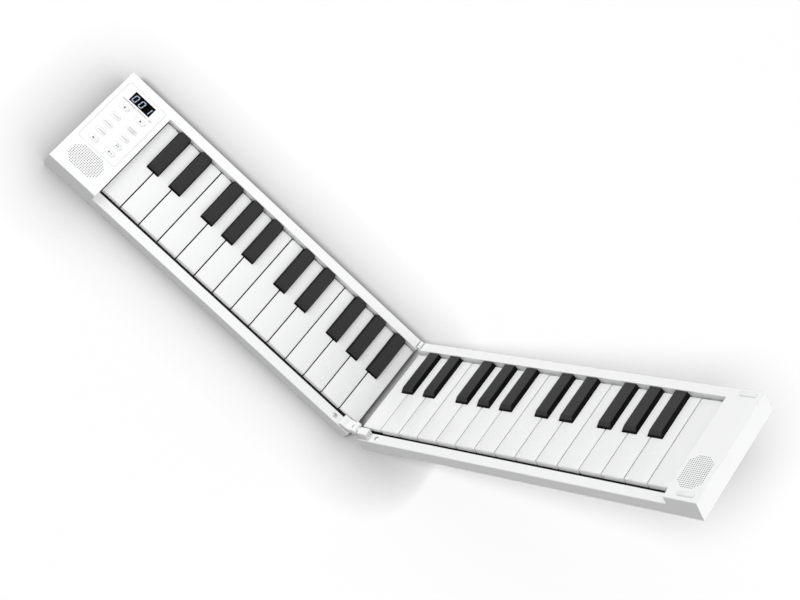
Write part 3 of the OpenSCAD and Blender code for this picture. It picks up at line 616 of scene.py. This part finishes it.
weave, weave_shader = new_material("screen_weave", (0.02, 0.02, 0.021), 0.85)
weave_place = add_node(weave, "ShaderNodeTexCoord")
threads = [add_node(weave, "ShaderNodeTexWave", {"Scale": 700.0}, bands_direction=way)
           for way in ("X", "Y")]
crossing = add_node(weave, "ShaderNodeMath", operation="MULTIPLY")
weave_bump = add_node(weave, "ShaderNodeBump", {"Strength": 0.8, "Distance": 0.1 * MM})
for thread, socket in zip(threads, crossing.inputs):
    join(weave, weave_place.outputs["Object"], thread.inputs["Vector"])
    join(weave, thread.outputs["Fac"], socket)
join(weave, crossing.outputs[0], weave_bump.inputs["Height"])
join(weave, weave_bump.outputs[0], weave_shader.inputs["Normal"])
speaker_black = moulded("speaker_black", (0.03, 0.03, 0.03), 0.6)
HOLE_PITCH, CORNER_STEPS = 2, 3
CLOTH_R, CLOTH_Z, CLOTH_BULGE, CLOTH_STEPS = 0.5, 0.02, 0.01, 12
GRILLES = {  # the middle's x and y, and the holes along x and y
    "left": (-358.15, -104.4, 18, 12), "right": (369, -94.4, 12, 18),
}


def grille_cloth(side):
    """The screen's black cloth, as it bulges through the holes of the grille."""
    middle_x, middle_y, columns, rows = GRILLES[side]
    shape = bmesh.new()
    for column in range(columns):
        for row in range(rows):
            from_end = min(column, columns - 1 - column)
            from_side = min(row, rows - 1 - row)
            if from_end + from_side < CORNER_STEPS:
                continue
            x = middle_x + (column - (columns - 1) / 2) * HOLE_PITCH
            y = middle_y + (row - (rows - 1) / 2) * HOLE_PITCH
            rim = ring_of(shape, CLOTH_R, CLOTH_Z - CLOTH_BULGE, CLOTH_STEPS)
            for vert in rim:
                vert.co.x += x
                vert.co.y += y
            crown = shape.verts.new((x, y, CLOTH_Z))
            for k in range(CLOTH_STEPS):
                shape.faces.new((rim[k], rim[(k + 1) % CLOTH_STEPS], crown))
    shape.transform(PLACES[side])
    add_piece(f"{side}_grille_cloth", shape, f"{side}_half", weave)


for side in ("left", "right"):
    finish_node(f"{side}_speaker_screen", weave)
    finish_node(f"{side}_speaker", speaker_black)
    grille_cloth(side)


# ------------------------------------------------------------------------------------------
# The control panel: a printed film in a shallow recess of the left cover. Ten soft buttons
# of one silicone mat come up through it in two columns.

panel_film = moulded("panel_film", (0.8, 0.802, 0.805), 0.48, grain=0.2, depth=0.003)
finish_node("control_panel", panel_film)
button_rubber = moulded("button_rubber", (0.785, 0.787, 0.79), 0.55, grain=0.25)
CAP_ROUNDING, CAP_FOOT, CAP_TOP = 0.12, -0.15, 0.35
rounded("button_pad", "button_pad", button_rubber, CAP_ROUNDING,
        lambda a, b: min(a.z, b.z) > CAP_FOOT)
HALF_LENGTH, CHEEK_MIDDLE, PANEL_SHIFT = 386, 28.25, 0.4
PANEL_MIDDLE = -(HALF_LENGTH - CHEEK_MIDDLE + PANEL_SHIFT)
COLUMN = 10.2
ROWS = [-35.1, -48.6, -59.9, -70.7, -81.3]
PRINT_T = 0.02
PANEL_PRINT = -0.05
print_dark = moulded("print_dark", (0.06, 0.06, 0.065), 0.6, grain=0.2, tint=0.02)
print_grey = moulded("print_grey", (0.3, 0.3, 0.31), 0.6, grain=0.2, tint=0.04)


def printed(name, outlines, z, body, material):
    """Ink on a face of the left half: each outline is a flat mark, a hair's breadth thick."""
    shape = bmesh.new()
    for outline in outlines:
        low = [shape.verts.new((x, y, z - PRINT_T)) for x, y in outline]
        high = [shape.verts.new((x, y, z + PRINT_T)) for x, y in outline]
        bridge(shape, low, high)
        shape.faces.new(high)
        shape.faces.new(list(reversed(low)))
    bmesh.ops.recalc_face_normals(shape, faces=shape.faces)
    shape.transform(PLACES["left"])
    return add_piece(name, shape, body, material)


def bar(x, y, width, height):
    return [(x - width / 2, y - height / 2), (x + width / 2, y - height / 2),
            (x + width / 2, y + height / 2), (x - width / 2, y + height / 2)]


def dot(x, y, radius, steps=16):
    return [(x + radius * math.cos(math.tau * k / steps),
             y + radius * math.sin(math.tau * k / steps)) for k in range(steps)]


def small_print(start, stop, y, widths, heights, gap, margin, dots=0.0, dot_r=0.6):
    """A row of marks like letters too small to read. A share of them, dots, are round."""
    marks = []
    at = start
    while at < stop - margin:
        step = letters.uniform(*widths)
        if dots and letters.random() < dots:
            marks.append(dot(at + step / 2, y, dot_r))
        else:
            marks.append(bar(at + step / 2, y, step, letters.uniform(*heights)))
        at += step + gap
    return marks


left_x, right_x = PANEL_MIDDLE - COLUMN, PANEL_MIDDLE + COLUMN
arrow_y, play_y, last_y = ROWS[0], ROWS[3] - 0.3, ROWS[4]
ARROW_TIP, ARROW_BASE, ARROW_HALF = 1.4, 1.1, 1.3
PLAY_TIP, PLAY_BASE, PLAY_HALF, PAUSE_W = 0.5, 0.9, 0.9, 0.4
DOT_R = 0.95
dark_marks = [
    [(left_x - ARROW_TIP, arrow_y), (left_x + ARROW_BASE, arrow_y - ARROW_HALF),
     (left_x + ARROW_BASE, arrow_y + ARROW_HALF)],
    [(right_x + ARROW_TIP, arrow_y), (right_x - ARROW_BASE, arrow_y + ARROW_HALF),
     (right_x - ARROW_BASE, arrow_y - ARROW_HALF)],
    [(right_x - PLAY_BASE, play_y - PLAY_HALF), (right_x + PLAY_TIP, play_y),
     (right_x - PLAY_BASE, play_y + PLAY_HALF)],
    bar(right_x + 1.1, play_y, PAUSE_W, 2 * PLAY_HALF),
    bar(right_x + 1.8, play_y, PAUSE_W, 2 * PLAY_HALF),
    dot(left_x - 0.6, last_y, DOT_R), dot(right_x - 1.2, last_y, DOT_R),
]
printed("button_marks_dark", dark_marks, CAP_TOP, "button_pad", print_dark)
LABELS = [  # a word's middle and its length
    (left_x, ROWS[1], 7.6), (left_x, ROWS[2], 8.8), (left_x + 0.4, ROWS[3], 8.0),
    (right_x, ROWS[2], 7.0), (right_x, ROWS[1] + 1.1, 8.4), (right_x, ROWS[1] - 1.1, 7.6),
]
SIGN_LENGTH, SIGN_LINE = 1.5, 0.45
letters = random.Random(7)
grey_marks = [
    bar(left_x + 2.0, last_y, SIGN_LENGTH, SIGN_LINE),
    bar(right_x + 1.7, last_y, SIGN_LENGTH, SIGN_LINE),
    bar(right_x + 1.7, last_y, SIGN_LINE, SIGN_LENGTH),
    bar(right_x, ROWS[3] + 1.6, 2.6, 0.5),
]
for x, y, length in LABELS:
    grey_marks += small_print(x - length / 2, x + length / 2, y, (0.55, 1.0), (0.77, 1.1),
                              0.28, 0.5)
printed("button_marks_grey", grey_marks, CAP_TOP, "button_pad", print_grey)
ROW_Y = -28
ROW_WORDS = [(-376.3, -360.2), (-358, -346), (-343.4, -339.6)]
row_marks = []
for start, stop in ROW_WORDS:
    row_marks += small_print(start, stop, ROW_Y, (0.6, 1.1), (1.0, 1.5), 0.45, 0.6, 0.25)
printed("panel_marks", row_marks, PANEL_PRINT, "left_half", print_grey)


# ------------------------------------------------------------------------------------------
# The display: a dark window that lies flush in the panel, with three slanted digits of
# seven lit bars each. It shows the first voice, 001.

display_glass, display_shader = new_material("display_glass", (0.001, 0.001, 0.0015), 0.14)
display_shader.inputs["Specular IOR Level"].default_value = 0.02
smears = add_node(display_glass, "ShaderNodeTexNoise", {"Scale": 160.0, "Detail": 4.0})
smear_sheen = add_node(display_glass, "ShaderNodeMapRange", {"To Min": 0.08, "To Max": 0.24})
join(display_glass, smears.outputs["Fac"], smear_sheen.inputs["Value"])
join(display_glass, smear_sheen.outputs[0], display_shader.inputs["Roughness"])
finish_node("display_window", display_glass)
lit = moulded("lit_bars", (0.05, 0.06, 0.08), 0.4, grain=0.15)
lit_shader = shader_of(lit)
lit_shader.inputs["Emission Color"].default_value = (0.62, 0.78, 1.0, 1)
lit_shader.inputs["Emission Strength"].default_value = 0.6
unlit = moulded("unlit_bars", (0.003, 0.0035, 0.005), 0.4, grain=0.15, tint=0.001)
shader_of(unlit).inputs["Specular IOR Level"].default_value = 0.04
DIGIT_W, DIGIT_H, DIGIT_PITCH = 5.0, 8.4, 8.07
STROKE, STROKE_GAP = 1.0, 0.12
SLANT = 0.13
DIGIT_Y = -20.2
SEGMENTS = {  # centre in digit widths and heights, and whether the bar lies flat
    "top": (0, 0.5, True), "middle": (0, 0, True), "bottom": (0, -0.5, True),
    "upper_left": (-0.5, 0.25, False), "upper_right": (0.5, 0.25, False),
    "lower_left": (-0.5, -0.25, False), "lower_right": (0.5, -0.25, False),
}
ZERO = {"top", "bottom", "upper_left", "upper_right", "lower_left", "lower_right"}
ONE = {"upper_right", "lower_right"}


def segment(x, across, along, flat):
    """One bar of a digit, pointed at both ends and slanted with its digit."""
    reach = (DIGIT_W - STROKE if flat else (DIGIT_H - STROKE) / 2) / 2 - STROKE_GAP
    half = STROKE / 2
    outline = [(-reach, 0), (-reach + half, -half), (reach - half, -half), (reach, 0),
               (reach - half, half), (-reach + half, half)]
    if not flat:
        outline = [(-b, a) for a, b in outline]
    middle_x = across * (DIGIT_W - STROKE)
    middle_y = along * (DIGIT_H - STROKE)
    return [(x + middle_x + a + SLANT * (middle_y + b), DIGIT_Y + middle_y + b)
            for a, b in outline]


lit_bars, unlit_bars = [], []
for place, digit in enumerate((ZERO, ZERO, ONE)):
    digit_x = PANEL_MIDDLE + (place - 1) * DIGIT_PITCH
    for name, (across, along, flat) in SEGMENTS.items():
        target = lit_bars if name in digit else unlit_bars
        target.append(segment(digit_x, across, along, flat))
printed("lit_digits", lit_bars, PANEL_PRINT, "left_half", lit)
printed("unlit_digits", unlit_bars, PANEL_PRINT, "left_half", unlit)


# ------------------------------------------------------------------------------------------
# The sockets in the left end face: two black bushes for audio plugs and a steel shell for the
# charging plug. The power button is a round cap in the back face.

SOCKET_Z = -9.8
AUDIO_YS, CHARGING_Y = (-30, -44), -60
BUTTON_ROUNDING = 0.25
AUDIO_LINING = [(1.78, 0.2), (1.74, 0.05), (1.5, 0.05), (1.45, 0.3), (1.45, 5), (0.2, 5)]
CHARGING_LINING = [(0.02, 0.3), (0.02, 0.1), (0.3, 0.1), (0.32, 0.2), (0.32, 5), (1.6, 5)]
socket_black = moulded("socket_black", (0.02, 0.02, 0.022), 0.45)


def socket_lining(name, outline_of, y, depths, material):
    """A lining in the end wall: loops of (size, depth) drawn by outline_of."""
    shape = bmesh.new()
    loops = []
    for size, depth in depths:
        loops.append([shape.verts.new((depth - HALF_LENGTH, y + a, SOCKET_Z + b))
                      for a, b in outline_of(size)])
    for near, far in zip(loops, loops[1:]):
        bridge(shape, near, far)
    bmesh.ops.recalc_face_normals(shape, faces=shape.faces)
    shape.transform(PLACES["left"])
    return add_piece(name, shape, "left_half", material)


def slot_outline(inset, width=9.2, height=3.4):
    """A slot with round ends, its rim moved in by inset."""
    radius = height / 2 - inset
    middle = (width - height) / 2
    turns_round = [math.pi * (k / 8 - 0.5) for k in range(9)]
    right_end = [(middle + radius * math.cos(a), radius * math.sin(a)) for a in turns_round]
    left_end = [(-x, -y) for x, y in right_end]
    return right_end + left_end


for number, y in enumerate(AUDIO_YS, 1):
    socket_lining(f"audio_socket_{number}", lambda radius: dot(0, 0, radius, 24), y,
                  AUDIO_LINING, socket_black)
socket_lining("charging_socket", slot_outline, CHARGING_Y, CHARGING_LINING, steel)
rounded("power_button", "power_button", white_plastic, BUTTON_ROUNDING)


# ------------------------------------------------------------------------------------------
# Feet under both halves and two low pads on the right cheek, where the closed halves meet:
# soft translucent-white silicone, pressed into the shells.

PAD_ROUNDING = 0.25
pad_rubber = moulded("pad_rubber", (0.755, 0.757, 0.76), 0.6, grain=0.3)
rounded("left_feet", "left_half", pad_rubber, PAD_ROUNDING)
rounded("right_pads", "right_half", pad_rubber, PAD_ROUNDING)


# ------------------------------------------------------------------------------------------
# Inside: green circuit boards under the keys and the panel, and a foil pouch cell with its
# protection strip on the floor of the right cheek.

board_green = moulded("board_green", (0.02, 0.13, 0.06), 0.35, grain=0.8)
for name in ("main_board", "left_contact_strip", "right_contact_strip"):
    finish_node(name, board_green)
pouch_foil, foil_shader = new_material("pouch_foil", (0.6, 0.61, 0.62), 0.35)
foil_shader.inputs["Metallic"].default_value = 1.0
creases = add_node(pouch_foil, "ShaderNodeTexNoise", {"Scale": 220.0, "Detail": 5.0})
crease_bump = add_node(pouch_foil, "ShaderNodeBump", {"Strength": 0.6, "Distance": 0.2 * MM})
join(pouch_foil, creases.outputs["Fac"], crease_bump.inputs["Height"])
join(pouch_foil, crease_bump.outputs[0], foil_shader.inputs["Normal"])
finish_node("battery_pack", pouch_foil)
